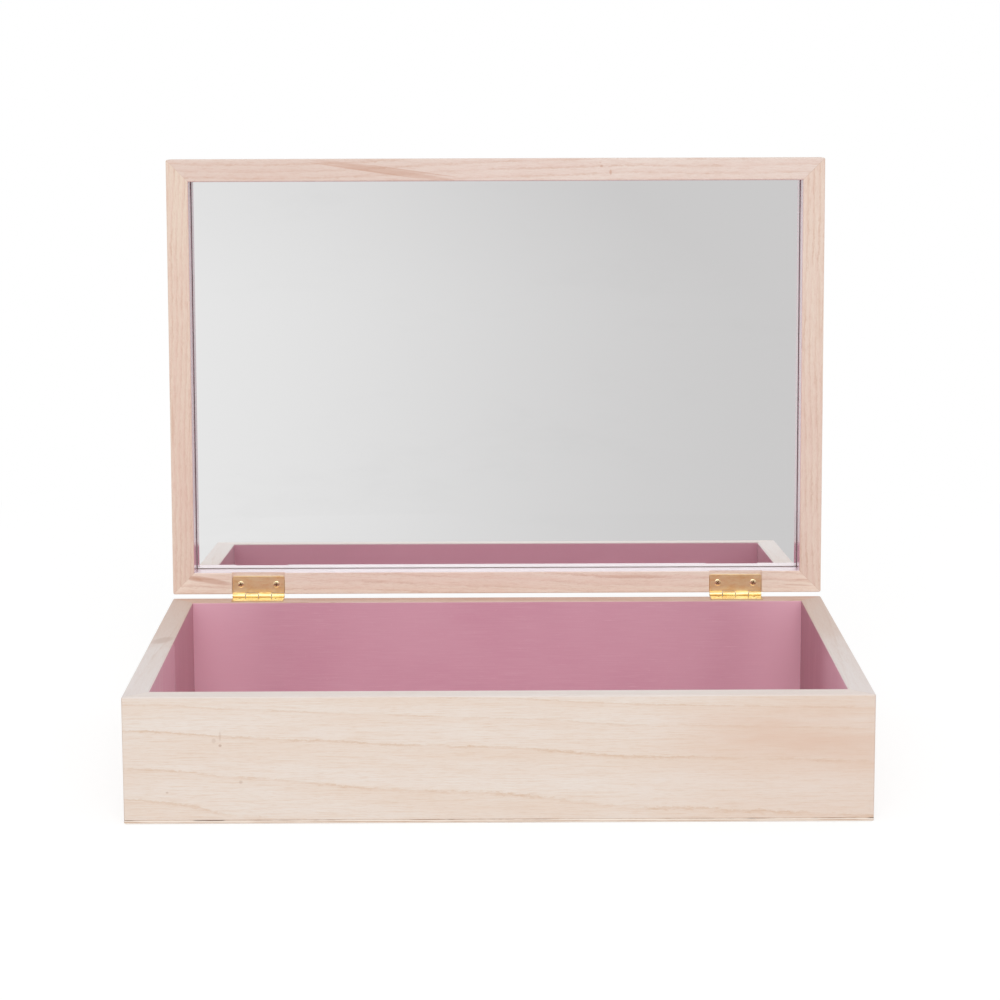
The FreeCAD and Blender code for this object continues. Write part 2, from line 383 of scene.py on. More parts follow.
def straight_rings(place, axis, across, through, spacing, slope, shift, swing=9):
    """Nearly straight rings of a plainer board, which drift across it along its length."""
    run, over, deep = (place.parts()[AXES.index(name)] for name in (axis, across, through))
    drift = run * slope + (place.noise(stretch_along(axis, 120, 60), 1, 0.5, shift) - 0.5) * swing
    return (over + deep.maths("ABSOLUTE") * THROUGH_BOARD + drift) / spacing + shift


# The pale early wood of each board, its warmer wood, and the line between two years.
FRONT_TONES = (chip(233, 223, 215), chip(229, 210, 195), chip(206, 168, 132))
BACK_TONES = (chip(226, 203, 190), chip(214, 178, 160), chip(178, 132, 104))
SIDE_TONES = (chip(227, 218, 213), chip(219, 202, 193), chip(196, 164, 144))

# Painted shadow on the rims near the back, a painted sheen on them towards the front, plain wood below
# them, and what is dark.
RIM_SHADOW = chip(206, 176, 158)
RIM_SHEEN = chip(232, 226, 225)
PLAIN_FACE = chip(230, 211, 196)
KNOT_AND_SHADOW_TONE = chip(168, 126, 98)
GLUE_LINE = chip(168, 128, 102)
OPEN_SEAM = chip(112, 84, 66)

# The pinker wood at the front board's right end. Each pair says where it begins and where it
# is full: along the board, up from below, down from above, and much fainter over all of it.
BLUSH = chip(221, 188, 167)
BLUSH_ALONG = (50, 110)
BLUSH_UPWARDS = (14, 32)
BLUSH_DOWNWARDS = (51, 42)
BLUSH_FAINTLY = (30, 140)

# Small knots, specks and a pitch streak in the front board, and a painted shadow edge on the left
# wall's rim. For each: its place along and across the board, half its length and half its width,
# its slope, and how dark it is.
FRONT_MARKS = [
    (-111.0, 32.2, 0.8, 0.7, 0.0, 0.5),
    (-111.0, 36.0, 0.6, 2.6, 0.0, 0.2),
    (-113.5, 34.2, 1.1, 1.3, 0.0, 0.2),
    (-103.0, 17.2, 1.0, 0.9, 0.0, 0.28),
    (-132.5, 13.0, 0.7, 0.5, 0.0, 0.35),
]
SHADOW_EDGE_ON_RIM = (8.0, -145.0, 9.0, 4.8, 0.3, 0.4)

# How far from a joint, in millimetres, its line ends and where it is full.
PANEL_LINE = (0.3, 0.12)
MITRE_LINE = (0.22, 0.06)


def front_board_marks(place, colour):
    """The front board's own knots, and the pinker wood towards its right end."""
    x, y, z = place.parts()
    drift = place.noise((45, 12, 9), 3, 0.6, 8)
    within = x.rise(*BLUSH_ALONG) * z.rise(*BLUSH_UPWARDS) * z.rise(*BLUSH_DOWNWARDS)
    rosy = within * drift.rise(0.05, 0.85)
    colour = (rosy * 0.62 + x.rise(*BLUSH_FAINTLY) * 0.24).pick(colour, BLUSH)
    return with_marks(colour, x, z, FRONT_MARKS, KNOT_AND_SHADOW_TONE)


def joint_lines(place, colour):
    """The thin, broken dark lines of the joints: at the base panel, and where mitres meet."""
    x, y, z = place.parts()
    at_panel = (z - floor_of_box).maths("ABSOLUTE").rise(*PANEL_LINE)
    off_mitre = x.maths("ABSOLUTE") - y.maths("ABSOLUTE") - mitre_offset
    at_mitre = off_mitre.maths("ABSOLUTE").rise(*MITRE_LINE)
    gaps = place.noise((13, 13, 13), 3, 0.7, 9).rise(0.38, 0.68)
    dark = at_panel * gaps.between(0.15, 0.7) + at_mitre * gaps.between(0.12, 0.4)
    open_seam = at_panel * place.noise((26, 26, 26), 2, 0.6, 13).rise(0.57, 0.64)
    return (open_seam * 0.7).pick(dark.pick(colour, GLUE_LINE), OPEN_SEAM)


def near_rim(place):
    """1 on a wall's rim, and 0 from a few millimetres below it."""
    return place.parts()[2].rise(rim_height - 5, rim_height - 0.5)


def plain_face(place, colour):
    """Below its rim, a wall's outer face is as pale as the front board."""
    return ((1 - near_rim(place)) * 0.5).pick(colour, PLAIN_FACE)


def side_board(place, colour):
    """A side board's colour: painted shadow on its rim near the back, with a darker edge on the left
    one.
    """
    x, y = place.parts()[:2]
    drift = place.noise((20, 26, 20), 3, 0.6, 12) - 0.5
    shadowed_rim = (y + drift * 60).rise(-16, 22) * near_rim(place).between(0.15, 0.5)
    return with_marks(shadowed_rim.pick(colour, RIM_SHADOW), y, x, [SHADOW_EDGE_ON_RIM], KNOT_AND_SHADOW_TONE)


def sheen_on_rim(place, colour):
    """A painted sheen: the rim is paler than the faces, most of all at the front."""
    y, z = place.parts()[1:]
    on_rim = z.rise(rim_height - 0.6, rim_height - 0.2)
    return (on_rim * y.rise(60, -95) * 0.5).pick(colour, RIM_SHEEN)


def corners_painted_lighter(place, colour):
    """The back wall's paint, painted paler towards the corners: painted light that lifts the shade
    there.
    """
    x = place.parts()[0]
    return x.maths("ABSOLUTE").rise(100, 140).pick(colour, PAINT_CORNER_LIGHT)


def front_paint_lit(place, colour):
    """The paint inside the front board, painted paler as painted light on its shaded face; seen only in
    the mirror.
    """
    clouds = place.noise((60, 60, 60), 1, 0.5, 6)
    return (clouds * 0.2 + 0.6).pick(colour, PAINT_FRONT_LIGHT)


def side_paint(place, colour, start, end, shade):
    """A side wall's paint and gloss: painted shade and less gloss at the back, painted sheen in front.
    """
    y = place.parts()[1]
    drag = place.noise((20, 6, 45), 3, 0.65, 11)
    # Painted shadow: towards the back the wall takes a deeper colour, as the lid's shadow.
    deep = y.rise(-110, 40) * drag.rise(0.1, 0.6).between(0.8, 1.0)
    colour = deep.pick(colour, shade)
    # Painted sheen: towards the front the paint turns greyish and paler, streaked with the drag.
    thin = y.rise(start, end) * 0.3 + y.rise(end, -90) * 0.55
    colour = (thin * drag.rise(0.2, 0.62).between(0.3, 1.0)).pick(colour, PAINT_SIDE_SHEEN)
    return colour, y.rise(start, end).between(0.3, 0.9)


# Each wall's grain direction, its rings' spacing, slope and shift, and its tones. The front
# board's rings have a rule of their own and take only the spacing from here.
WALLS = {
    "box_front_wall": ("x", (14.0, 0.0, 0.0), FRONT_TONES),
    "box_back_wall": ("x", (9.0, 0.03, 2.4), BACK_TONES),
    "box_left_wall": ("y", (12.0, 0.05, 5.1), SIDE_TONES),
    "box_right_wall": ("y", (10.0, -0.06, 7.8), SIDE_TONES),
}

# How boldly the rings show on the boards that run along each axis.
BOLDNESS = {"x": 0.75, "y": 0.5}

# Where along each side wall the painted sheen begins and where it is full, and the deeper
# colour of the painted shadow at its back.
SIDE_SHEEN_AND_SHADE = {
    "box_left_wall": (13, 3, chip(180, 121, 133)),
    "box_right_wall": (20, -50, chip(157, 95, 109)),
}

# Each board has noises of its own, and so has its paint.
SEEDS_A_BOARD = 10
WALL_PAINT_SEED = 40

for number, (wall, (axis, spread, tones)) in enumerate(WALLS.items()):
    seed = number * SEEDS_A_BOARD
    finish, shader, place = new_finish(wall + "_wood")
    if wall == "box_front_wall":
        rings = front_board_rings(place)
    else:
        rings = straight_rings(place, axis, "z", "y" if axis == "x" else "x", *spread)
    colour, height = wood(place, axis, rings, spread[0], tones, seed, BOLDNESS[axis])
    if wall == "box_front_wall":
        colour = front_board_marks(place, colour)
    else:
        colour = plain_face(place, colour)
    if wall in SIDE_SHEEN_AND_SHADE:
        colour = side_board(place, colour)
    colour = sheen_on_rim(place, colour)
    colour = joint_lines(place, colour)
    strokes_along = "x" if axis == "x" else "z"
    paint_colour, *paint_rest = brushed_paint(place, strokes_along, WALL_PAINT_SEED + seed)
    coat = 1.0
    if wall in SIDE_SHEEN_AND_SHADE:
        paint_colour, coat = side_paint(place, paint_colour, *SIDE_SHEEN_AND_SHADE[wall])
    # Painted light: the back wall's paint is paler towards the corners.
    if wall == "box_back_wall":
        paint_colour = corners_painted_lighter(place, paint_colour)
    # Painted light: the front board's inner paint is paler.
    if wall == "box_front_wall":
        paint_colour = front_paint_lit(place, paint_colour)
    painted = inside_box(place, rim_height - BARE_EDGE, floor_of_box)
    wear_both(shader, painted, (colour, height), (paint_colour, *paint_rest), coat)
    finish_node(wall, finish)


# The base panel: thin plywood glued under the walls. Its edge shows as a line below the
# front, its upper face is painted with the inside of the box.
PLY_TONES = (chip(236, 224, 210), chip(229, 209, 190), chip(190, 152, 122))
PALE_PLY = chip(248, 238, 228)
CORE_PLY = chip(192, 154, 124)
PLY_BOLDNESS = 0.6

# The spacing, slope, shift and swing of the rings on this sheet of plywood, and how deep the
# paint goes into a sheet, in millimetres.
BASE_SHEET = (27.0, 0.06, 1.7, 110)
PAINT_DEPTH = 0.1


def ply_edges(place, colour, low, high):
    """A panel's edges: two pale plies, and between them the darker, broken end grain of a third."""
    off = (place.parts()[2] - (low + high) / 2).maths("ABSOLUTE")
    colour = (off.rise(0.72, 0.64) * 0.8).pick(colour, PALE_PLY)
    broken = place.noise((18, 18, 18), 2, 0.6, 15).rise(0.35, 0.6).between(0.5, 1.0)
    return (off.rise(0.22, 0.1) * broken).pick(colour, CORE_PLY)


finish, shader, place = new_finish("box_base_panel_plywood")
rings = straight_rings(place, "x", "y", "z", *BASE_SHEET)
colour, height = wood(place, "x", rings, BASE_SHEET[0], PLY_TONES, seed=60, boldness=PLY_BOLDNESS)
colour = ply_edges(place, colour, 0, floor_of_box)
colour = joint_lines(place, colour)
paint = brushed_paint(place, "x", seed=100)
painted = inside_box(place, floor_of_box + 1, floor_of_box - PAINT_DEPTH)
wear_both(shader, painted, (colour, height), paint)
finish_node("box_base_panel", finish)


# The lid's four rails: narrow mitred boards, standing open on the hinges. They are bare
# outside and painted inside, like the box, and their grain is pinker and livelier.
joint = frame["joints"][0]
pin_point = Vector(joint["pos_m"])
lid_opening = math.radians(joint["range_deg"][1])
to_closed = Matrix.Rotation(lid_opening, 3, Vector(joint["axis"]))


def on_lid(place):
    """The place on the lid as it is when the lid is shut, in millimetres."""
    shift = (pin_point - to_closed @ pin_point) * PER_METRE
    turn = to_closed.to_euler()
    inputs = {"Vector": place, "Location": shift, "Rotation": turn}
    return place.node("ShaderNodeMapping", {}, inputs)


def closed_box(node_name):
    """Lowest and highest corner of a piece of the lid when the lid is shut, in millimetres."""
    points = [v.co for v in frame["nodes"][node_name].data.vertices]
    shut = [(to_closed @ (p - pin_point) + pin_point) * PER_METRE for p in points]
    low = [min(p[i] for p in shut) for i in range(3)]
    high = [max(p[i] for p in shut) for i in range(3)]
    return Vector(low), Vector(high)


lid_rim = closed_box("lid_front_rail")[0].z
mirror_low, mirror_high = closed_box("mirror")
RAIL_LINE = chip(202, 160, 132)
TOP_TONES = (chip(236, 221, 211), chip(230, 206, 195), RAIL_LINE)
# The hinge rail's tones are paler than the other rails': painted light that lifts the shade low on the
# open lid.
HINGE_RAIL_LIT_TONES = (chip(248, 234, 220), chip(242, 217, 201), RAIL_LINE)
LEFT_TONES = (chip(235, 217, 199), chip(231, 201, 186), RAIL_LINE)
RIGHT_TONES = (chip(236, 218, 202), chip(230, 202, 188), RAIL_LINE)

# Each rail's grain direction, its rings' spacing, slope and shift, its tones, and its knots
# and streaks: place along and across the rail, half length and width, slope and depth.
RAILS = {
    "lid_front_rail": (
        "x",
        (3.2, 0.02, 3.3),
        TOP_TONES,
        [
            (48.2, -96.6, 0.9, 0.7, 0.0, 0.45),
            (47.6, -98.2, 0.7, 0.5, 0.0, 0.25),
            (52.3, -93.8, 0.7, 1.5, 0.0, 0.5),
            (-50.0, -94.8, 37.0, 1.7, 0.145, 0.42),
            (-60.0, -95.0, 30.0, 0.5, 0.15, 0.4),
            (-38.0, -94.6, 26.0, 0.4, 0.14, 0.4),
            (-96.0, -95.0, 90.0, 20.0, 0.0, 0.16),
        ],
    ),
    "lid_back_rail": (
        "x",
        (3.6, -0.03, 1.2),
        HINGE_RAIL_LIT_TONES,
        [
            (-133.0, 93.6, 12.5, 1.7, 0.17, 0.5),
            (-140.0, 92.8, 5.0, 1.5, 0.2, 0.4),
            (141.0, 94.2, 7.0, 0.5, -0.02, 0.3),
            (139.0, 96.6, 9.0, 0.6, 0.05, 0.3),
            (64.0, 92.4, 20.0, 1.2, 0.0, 0.25),
        ],
    ),
    "lid_left_rail": ("y", (2.4, 0.02, 8.6), LEFT_TONES, [(20.0, -148.9, 14.0, 0.7, 0.0, 0.3)]),
    "lid_right_rail": ("y", (2.7, -0.015, 6.1), RIGHT_TONES, [(-30.0, 148.0, 22.0, 0.8, 0.01, 0.2)]),
}

# The colour of those streaks, and a painted glare: paint near white, low inside the open lid.
STREAK = chip(196, 142, 112)
PAINT_GLARE = chip(250, 234, 241)

# The seeds of the first rail's wood and of its paint, how boldly the rails' rings show, and
# how long their fibres are beside those of the walls.
RAIL_SEED = 120
RAIL_PAINT_SEED = 170
RAIL_BOLDNESS = 0.6
SHORT_FIBRES = 0.45


def inside_lid(place, low_edge, glass):
    """Where the lid is painted: its inner faces, from the edge of its rim up to the mirror."""
    z = place.parts()[2]
    above = (z + waver(place, 5) - low_edge).rise(-EDGE_SOFTNESS, EDGE_SOFTNESS)
    return inner_faces(place) * above * (z - glass).rise(EDGE_SOFTNESS, -EDGE_SOFTNESS)


for number, (rail, (axis, spread, tones, marks)) in enumerate(RAILS.items()):
    seed = number * SEEDS_A_BOARD
    finish, shader, place = new_finish(rail + "_wood")
    place = on_lid(place)
    x, y, z = place.parts()
    rings = straight_rings(place, axis, "y" if axis == "x" else "x", "z", *spread)
    look = (tones, RAIL_SEED + seed, RAIL_BOLDNESS, SHORT_FIBRES)
    colour, height = wood(place, axis, rings, spread[0], *look)
    along, across = (x, y) if axis == "x" else (y, x)
    on_rim = (z - lid_rim).rise(4.0, 1.0)
    colour = with_marks(colour, along, across, marks, STREAK, on_rim)
    colour = joint_lines(place, colour)
    paint_colour, *paint_rest = brushed_paint(place, axis, RAIL_PAINT_SEED + seed)
    if rail == "lid_back_rail":
        # Painted sheen: the low rail's inner face is mottled towards near-white, as a glare on it.
        mottle = place.noise((30, 30, 30), 2, 0.5, 7).between(0.45, 0.95)
        paint_colour = mottle.pick(paint_colour, PAINT_GLARE)
    painted = inside_lid(place, lid_rim + BARE_EDGE, mirror_low.z)
    wear_both(shader, painted, (colour, height), (paint_colour, *paint_rest))
    finish_node(rail, finish)


# The lid's top panel: a sheet of the same thin plywood, glued over the rails. It is left
# bare outside and painted inside, where the mirror covers nearly all of it.
TOP_SHEET = (24.0, -0.05, 4.4, 120)

finish, shader, place = new_finish("lid_top_panel_plywood")
place = on_lid(place)
rings = straight_rings(place, "x", "y", "z", *TOP_SHEET)
colour, height = wood(place, "x", rings, TOP_SHEET[0], PLY_TONES, seed=220, boldness=PLY_BOLDNESS)
panel_low, panel_high = closed_box("lid_top_panel")
colour = ply_edges(place, colour, panel_low.z, panel_high.z)
paint = brushed_paint(place, "x", seed=230)
painted = (panel_low.z + PAINT_DEPTH - place.parts()[2]).rise(-0.05, 0.05)
wear_both(shader, painted, (colour, height), paint)
finish_node("lid_top_panel", finish)


# The mirror: a 3 mm sheet of silvered glass with seamed edges, grey paint on its back.
# A few faint smudges show where it was wiped.
SILVER = chip(242, 242, 242)
SMUDGE = chip(233, 233, 233)
# The glass's edges are near white: painted light that lifts the shade in the gap round the mirror.
GLASS_EDGE_LIGHT = chip(214, 226, 228)
BACKING = chip(150, 152, 154)

finish, shader, place = new_finish("mirror_silver")
place = on_lid(place)
z = place.parts()[2]
behind = (z - mirror_low.z).rise(0.02, 0.06)
back = (z - mirror_high.z).rise(-0.06, -0.02)
wiped = place.noise((60, 22, 60), 4, 0.6, 2).rise(0.5, 0.85)
specks = place.noise((1.6, 1.6, 1.6), 2, 0.5, 4).rise(0.74, 0.8)
marks = wiped * 0.3 + specks * 0.4
glass = behind.pick(marks.pick(SILVER, SMUDGE), GLASS_EDGE_LIGHT)
feed(shader.inputs["Base Color"], back.pick(glass, BACKING))
feed(shader.inputs["Metallic"], 1 - behind)
feed(shader.inputs["Roughness"], marks * 0.03 + behind * 0.25 + back * 0.3 + 0.012)
finish_node("mirror", finish)


# The three strips of tape that hold the mirror to the top panel: white foam with glue on
# both sides, pressed on between the painted plywood and the back of the glass.
finish, shader, place = new_finish("foam_tape")
cells = place.noise((0.8, 0.8, 0.8), 2, 0.5, 1)
feed(shader.inputs["Base Color"], cells.pick(chip(224, 223, 219), chip(244, 243, 240)))
feed(shader.inputs["Normal"], bump(cells, 0.6, 0.1))
shader.inputs["Roughness"].default_value = 0.8
for side in ("left", "middle", "right"):
    finish_node("mirror_tape_" + side, finish)


# The two butt hinges: stamped brass leaves with rolled knuckles, on a brass pin. The leaves
# are lacquered, with fine lines from the rolled strip they were cut from. Those on the lid
# are brushed, and those on the box are polished.

# Bright, deep and stained brass, and the least and most roughness, of each pair of leaves.
BRUSHED = (chip(252, 233, 184), chip(245, 213, 154), chip(222, 174, 110), 0.19, 0.36)
POLISHED = (chip(234, 217, 171), chip(228, 198, 143), chip(206, 162, 102), 0.12, 0.25)
PIN_DEEP = chip(72, 56, 34)
PIN_BRIGHT = chip(124, 98, 60)


def brass(name, bright, deep, stained, least, most):
    """Lacquered brass whose fine rolling lines vary its gloss between two roughnesses."""
    finish, shader, place = new_finish(name)
    rolled = place.noise((14, 0.3, 0.3), 3, 0.6, 1)
    stain = place.noise((6, 2.5, 2.5), 4, 0.65, 2)
    metal = stain.rise(0.35, 0.65).pick(bright, deep)
    feed(shader.inputs["Base Color"], (stain.rise(0.55, 0.8) * 0.6).pick(metal, stained))
    feed(shader.inputs["Roughness"], rolled.between(least, most) + stain * 0.07)
    feed(shader.inputs["Normal"], bump(rolled, 0.15, 0.008))
    shader.inputs["Metallic"].default_value = 1
    return finish


box_leaf_finish = brass("polished_leaf", *POLISHED)
lid_leaf_finish = brass("brushed_leaf", *BRUSHED)
pin_finish, shader, place = new_finish("pin_brass")
mottle = place.noise((3, 0.2, 0.2), 2, 0.5, 3)
feed(shader.inputs["Base Color"], mottle.pick(PIN_DEEP, PIN_BRIGHT))
feed(shader.inputs["Roughness"], mottle.between(0.4, 0.6))
shader.inputs["Metallic"].default_value = 1
for side in ("left", "right"):
    finish_node(f"hinge_{side}_box_leaf", box_leaf_finish)
    finish_node(f"hinge_{side}_lid_leaf", lid_leaf_finish)
    finish_node(f"hinge_{side}_pin", pin_finish)


# The eight wood screws: brass, countersunk, with slightly raised heads, a cross recess and
# a cut thread. Geometry Nodes turn one screw and set a copy in each seat of a leaf.
SCREW_SIZES = {
    "Length": 0.008,
    "Head Radius": 0.00149,
    "Thread Depth": 0.00016,
    "Thread Pitch": 0.0007,
    "Cross Span": 0.0018,
    "Cross Width": 0.00042,
    "Cross Depth": 0.0007,
}

# How far down the screw each station of its outline lies, and how wide it is there, as
# shares of its length and of its head's radius. The shank goes from the cone to the point.
SCREW_DEPTHS = [(0, 0), (0.07, 0.003), (0.13, 0.01), (0.18, 0.02), (0.2, 0.032), (0.3, 0.13), (1, 1)]
SCREW_WIDTHS = [(0, 0), (0.07, 0.45), (0.13, 0.82), (0.18, 1), (0.2, 1), (0.3, 0.4), (0.88, 0.4), (1, 0)]

# How far the head rises out of its seat, as a share of the length, and how many points the
# outline and the way around the screw have.
HEAD_RISE = 0.02
ROWS = 130
COLUMNS = 22

# Where along the outline the thread grows out of the shank and dies away at the point, and
# how steep its flanks are.
THREAD_STARTS = (0.36, 0.42)
THREAD_ENDS = (0.99, 0.93)
THREAD_STEEPNESS = 1.6

# Corners closer than this, in metres, become one. An edge stays sharp if it is bent further
# than this, in radians.
WELD_DISTANCE = 2e-6
SHARP_BEND = (0.55, 0.56)

SCREW_BRIGHT = chip(248, 232, 196)
SCREW_DEEP = chip(226, 194, 146)
RECESS_SHADE = chip(128, 98, 60)

screw_finish, shader, place = new_finish("screw_brass")
turned = place.noise((0.5, 0.5, 0.5), 3, 0.6, 1)
recess = place.node("ShaderNodeAttribute", {"attribute_name": "recess"}, {}, 2)
metal = turned.rise(0.3, 0.7).pick(SCREW_BRIGHT, SCREW_DEEP)
# Painted shade: the faces of the cross recess are darker, where shade falls in it.
feed(shader.inputs["Base Color"], recess.pick(metal, RECESS_SHADE))
feed(shader.inputs["Roughness"], turned.between(0.18, 0.32) + recess * 0.3)
shader.inputs["Metallic"].default_value = 1


def turned_screw(start, sizes):
    """One screw along Z with its seat at the origin: a grid rolled up about the axis."""
    grid = start.node("GeometryNodeMeshGrid", {}, {"Vertices X": ROWS, "Vertices Y": COLUMNS})
    spot = start.node("GeometryNodeInputPosition").parts()
    along = spot[0] + 0.5
    around = (spot[1] + 0.5) * math.tau
    depth = curve_of(along, SCREW_DEPTHS, "VECTOR") * sizes["Length"]
    width = curve_of(along, SCREW_WIDTHS, "VECTOR") * sizes["Head Radius"]
    turns = (depth / sizes["Thread Pitch"] + around / math.tau).maths("FRACT")
    ridge = 1 - (turns * 2 - 1).maths("ABSOLUTE") * THREAD_STEEPNESS
    cut = along.rise(*THREAD_STARTS) * along.rise(*THREAD_ENDS)
    width = width + ridge.maths("MAXIMUM", 0) * sizes["Thread Depth"] * cut
    height = sizes["Length"] * HEAD_RISE - depth
    inputs = {0: width * around.maths("COSINE"), 1: width * around.maths("SINE"), 2: height}
    rolled = start.node("ShaderNodeCombineXYZ", {}, inputs)
    screw = start.node("GeometryNodeSetPosition", {}, {"Geometry": grid, "Position": rolled})
    weld = {"Geometry": screw, "Distance": WELD_DISTANCE}
    return start.node("GeometryNodeMergeByDistance", {}, weld)


def with_cross(screw, sizes):
    """Cuts the cross recess with two bars, which mark the faces that they leave."""
    spans = {0: sizes["Cross Span"], 1: sizes["Cross Width"], 2: sizes["Cross Depth"]}
    bar_size = screw.node("ShaderNodeCombineXYZ", {}, spans)
    bar = screw.node("GeometryNodeMeshCube", {}, {"Size": bar_size})
    on_faces = {"data_type": "FLOAT", "domain": "FACE"}
    mark = {"Geometry": bar, "Name": "recess", "Value": 1.0}
    bar = screw.node("GeometryNodeStoreNamedAttribute", on_faces, mark)
    lift = screw.node("ShaderNodeCombineXYZ", {}, {2: sizes["Length"] * HEAD_RISE})
    for quarter in (0, math.pi / 2):
        moved = {"Geometry": bar, "Translation": lift, "Rotation": (0, 0, quarter)}
        cross = {"Mesh 1": screw, "Mesh 2": screw.node("GeometryNodeTransform", {}, moved)}
        screw = screw.node("GeometryNodeMeshBoolean", {"solver": "EXACT"}, cross)
    return screw


def screw_tree():
    """The tree that sets a screw at each point, facing as the point's attributes say."""
    tree = bpy.data.node_groups.new("screws_in_their_seats", "GeometryNodeTree")
    tree.interface.new_socket("Seats", in_out="INPUT", socket_type="NodeSocketGeometry")
    tree.interface.new_socket("Screws", in_out="OUTPUT", socket_type="NodeSocketGeometry")
    names = {}
    for name in SCREW_SIZES:
        made = tree.interface.new_socket(name, in_out="INPUT", socket_type="NodeSocketFloat")
        names[name] = made.identifier
    group_inputs = tree.nodes.new("NodeGroupInput").outputs
    start = Wire(group_inputs["Seats"])
    sizes = {name: Wire(group_inputs[name]) for name in SCREW_SIZES}
    screw = with_cross(turned_screw(start, sizes), sizes)
    bend = start.node("GeometryNodeInputMeshEdgeAngle").rise(*SHARP_BEND)
    smooth = {"Geometry": screw, "Shade Smooth": 1 - bend}
    screw = start.node("GeometryNodeSetShadeSmooth", {"domain": "EDGE"}, smooth)
    read = "GeometryNodeInputNamedAttribute"
    facing = start.node(read, {"data_type": "FLOAT_VECTOR"}, {"Name": "facing"})
    turn = start.node(read, {"data_type": "FLOAT"}, {"Name": "turn"})
    aimed = start.node("FunctionNodeAlignRotationToVector", {"axis": "Z"}, {"Vector": facing})
    twist = start.node("FunctionNodeAxisAngleToRotation", {}, {"Axis": (0, 0, 1), "Angle": turn})
    local = {"rotation_space": "LOCAL"}
    aimed = start.node("FunctionNodeRotateRotation", local, {"Rotation": aimed, "Rotate By": twist})
    seats = {"Points": start, "Instance": screw, "Rotation": aimed}
    screws = start.node("GeometryNodeInstanceOnPoints", {}, seats)
    screws = start.node("GeometryNodeRealizeInstances", {}, {"Geometry": screws})
    coat = {"Geometry": screws, "Material": screw_finish}
    screws = start.node("GeometryNodeSetMaterial", {}, coat)
    feed(tree.nodes.new("NodeGroupOutput").inputs["Screws"], screws)
    return tree, names


# How far each screw in the lid is turned, in degrees, by its hinge and its end of the leaf.
# The one below it in the box is turned twice as far.
CROSS_TURNS = {
    ("left", "left"): 20,
    ("left", "right"): 8,
    ("right", "left"): 47,
    ("right", "right"): 70,
}

tree, socket_names = screw_tree()
to_open = to_closed.inverted()

for body in ("box", "lid"):
    points, facings, turns, replaced = [], [], [], []
    for (side, end), degrees in CROSS_TURNS.items():
        node_name = f"hinge_{side}_{body}_screw_{end}"
        if body == "box":
            low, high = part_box(node_name)
            middle = (low + high) / 2
            points.append(Vector((middle.x, middle.y, high.z)))
            facings.append((0, 0, 1))
            turns.append(math.radians(2 * degrees))
        else:
            low, high = closed_box(node_name)
            middle = (low + high) / 2
            shut = Vector((middle.x, middle.y, low.z)) / PER_METRE
            points.append(to_open @ (shut - pin_point) + pin_point)
            facings.append(to_open @ Vector((0, 0, -1)))
            turns.append(math.radians(degrees))
        replaced.append(node_name)
    seats = bpy.data.meshes.new("seats")
    seats.from_pydata(points, [], [])
    facing = seats.attributes.new("facing", "FLOAT_VECTOR", "POINT")
    facing.data.foreach_set("vector", [part for direction in facings for part in direction])
    seats.attributes.new("turn", "FLOAT", "POINT").data.foreach_set("value", turns)
    screws = bpy.data.objects.new(body + "_screws", seats)
    bpy.context.scene.collection.objects.link(screws)
    modifier = screws.modifiers.new("screws", "NODES")
    modifier.node_group = tree
    for name, size in SCREW_SIZES.items():
        modifier[socket_names[name]] = size
    solid = screws.evaluated_get(bpy.context.evaluated_depsgraph_get())
    screws.data = bpy.data.meshes.new_from_object(solid)
    screws.modifiers.clear()
    screws.data.materials.pop(index=0)
    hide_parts(*replaced)
    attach(screws, body)


# The studio: a pale round floor that keeps the box's shadow, an even white room and one soft
# lamp above the camera. In the mirror the room is a little darker towards the right.
FLOOR_RADIUS = 0.75
FLOOR_WHITE = (0.94, 0.94, 0.94, 1)
ROOM_LIGHT = 0.8
WHITE = (1, 1, 1, 1)

# How brightly the floor glows to the camera, and how much of it shows the shadow instead.
FLOOR_GLOW = 1.13
SHADOW_SHARE = 0.4

# What glossy surfaces see of the room: its white at the left, at the right and above. Each
# pair says where one goes over into the next, in the direction of the ray, and the reach
# gives places on the floor that same scale.
GLOSS_LEFT = chip(244, 244, 244)
GLOSS_RIGHT = chip(214, 213, 213)
GLOSS_ABOVE = WHITE
LEFT_TO_RIGHT = (-0.13, 0.11)
FLOOR_TO_ROOM = (-0.04, 0.02)
LEVEL_TO_ABOVE = (0.05, 0.16)
MIRRORED_REACH = 1.95


def seen_by_ray(in_gloss, to_camera, otherwise, camera_share=1.0):
    """Mixes three shaders: for glossy rays, for the camera, and for all the others."""
    rays = otherwise.node("ShaderNodeLightPath").socket.node.outputs
    camera = Wire(rays["Is Camera Ray"]) * camera_share
    plain = otherwise.node("ShaderNodeMixShader", {}, {0: camera, 1: otherwise, 2: to_camera})
    glossy = Wire(rays["Is Glossy Ray"])
    return otherwise.node("ShaderNodeMixShader", {}, {0: glossy, 1: plain, 2: in_gloss})


bpy.ops.mesh.primitive_circle_add(vertices=96, radius=FLOOR_RADIUS, fill_type="NGON")
floor = bpy.context.object
floor.name = "floor"
floor_paint = bpy.data.materials.new("floor_white")
floor_paint.use_nodes = True
tree = floor_paint.node_tree
tree.nodes.remove(tree.nodes["Principled BSDF"])
ground = Wire(tree.nodes.new("ShaderNodeTexCoord").outputs["Object"])
sideways = ground.parts()[0] / MIRRORED_REACH
gloss_colour = sideways.rise(*LEFT_TO_RIGHT).pick(GLOSS_LEFT, GLOSS_RIGHT)
matt = ground.node("ShaderNodeBsdfDiffuse", {}, {"Color": FLOOR_WHITE})
glow = ground.node("ShaderNodeEmission", {}, {"Color": WHITE, "Strength": FLOOR_GLOW})
mirrored = ground.node("ShaderNodeEmission", {}, {"Color": gloss_colour})
surface = seen_by_ray(mirrored, glow, matt, 1 - SHADOW_SHARE)
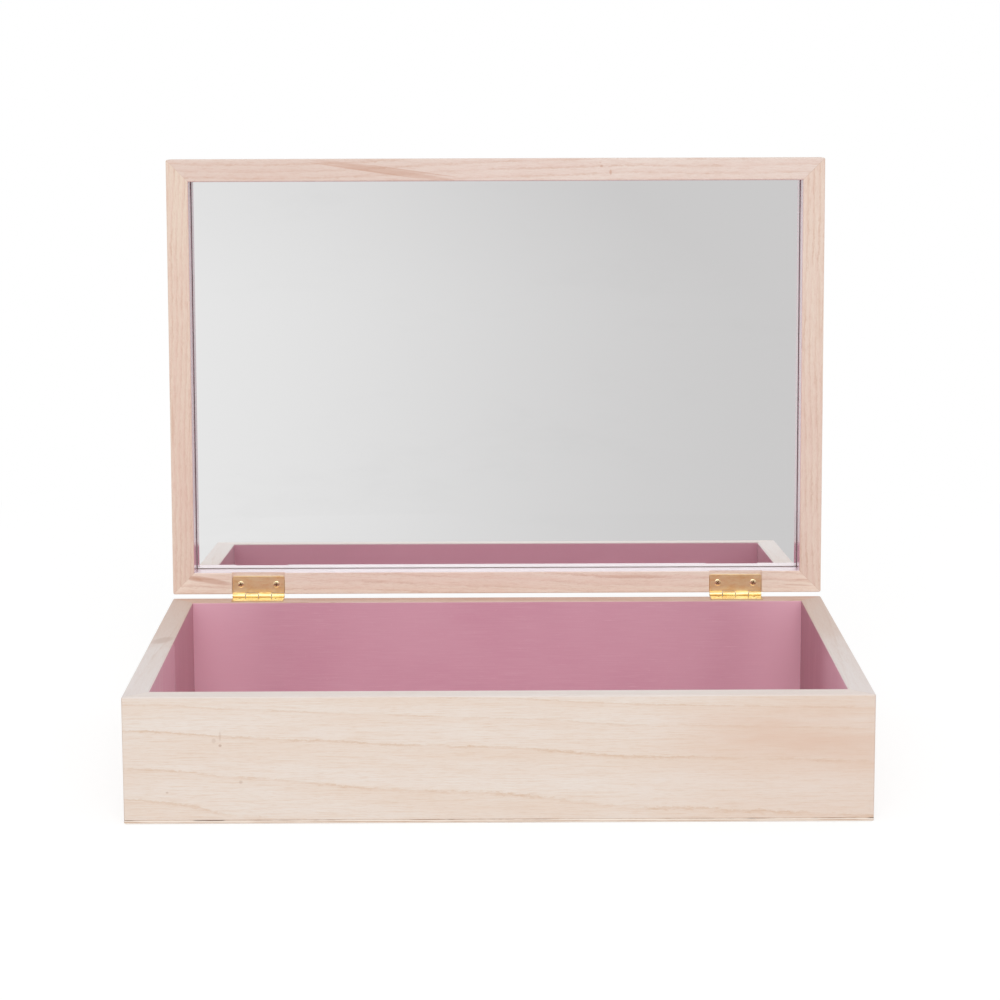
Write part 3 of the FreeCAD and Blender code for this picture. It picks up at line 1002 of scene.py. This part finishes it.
feed(tree.nodes["Material Output"].inputs["Surface"], surface)
floor.data.materials.append(floor_paint)
floor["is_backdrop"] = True

room = bpy.data.worlds.new("room")
bpy.context.scene.world = room
room.use_nodes = True
tree = room.node_tree
aim = Wire(tree.nodes.new("ShaderNodeTexCoord").outputs["Generated"])
across, away, upward = aim.parts()
shade = across.rise(*LEFT_TO_RIGHT) + upward.rise(*FLOOR_TO_ROOM) * 0.2
level_colour = shade.pick(GLOSS_LEFT, GLOSS_RIGHT)
gloss_colour = upward.rise(*LEVEL_TO_ABOVE).pick(level_colour, GLOSS_ABOVE)
even = aim.node("ShaderNodeBackground", {}, {"Color": WHITE, "Strength": ROOM_LIGHT})
plain_white = aim.node("ShaderNodeBackground", {}, {"Color": WHITE})
mirrored = aim.node("ShaderNodeBackground", {}, {"Color": gloss_colour})
surface = seen_by_ray(mirrored, plain_white, even)
feed(tree.nodes["World Output"].inputs["Surface"], surface)

LAMP_SIZE = 1.4
LAMP_POWER = 11
LAMP_PLACE = (0, -1.75, 1.3)
LAMP_AIM = Vector((0, 0, 0.1))
lamp_data = bpy.data.lights.new("soft_lamp", "AREA")
lamp_data.size = LAMP_SIZE
lamp_data.energy = LAMP_POWER
lamp = bpy.data.objects.new("soft_lamp", lamp_data)
lamp.location = LAMP_PLACE
lamp.rotation_euler = (LAMP_AIM - lamp.location).to_track_quat("-Z", "Y").to_euler()
bpy.context.scene.collection.objects.link(lamp)

# The camera that was fitted to the photograph's edges: its place in metres, its turns in
# radians and its lens in millimetres.
CAMERA_PLACE = (-0.0035, -1.2516, 0.3222)
CAMERA_YAW = 0.0037
CAMERA_PITCH = -0.1646
CAMERA_ROLL = -0.0032
LENS = 107.0
camera_data = bpy.data.cameras.new("camera")
camera_data.lens = LENS
camera = bpy.data.objects.new("camera", camera_data)
upright = Matrix.Rotation(math.pi / 2 + CAMERA_PITCH, 4, "X")
turned = Matrix.Rotation(-CAMERA_YAW, 4, "Z") @ upright @ Matrix.Rotation(CAMERA_ROLL, 4, "Z")
camera.matrix_world = Matrix.Translation(CAMERA_PLACE) @ turned
bpy.context.scene.collection.objects.link(camera)
bpy.context.scene.camera = camera
bpy.context.scene.view_settings.view_transform = "Standard"

low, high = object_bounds()
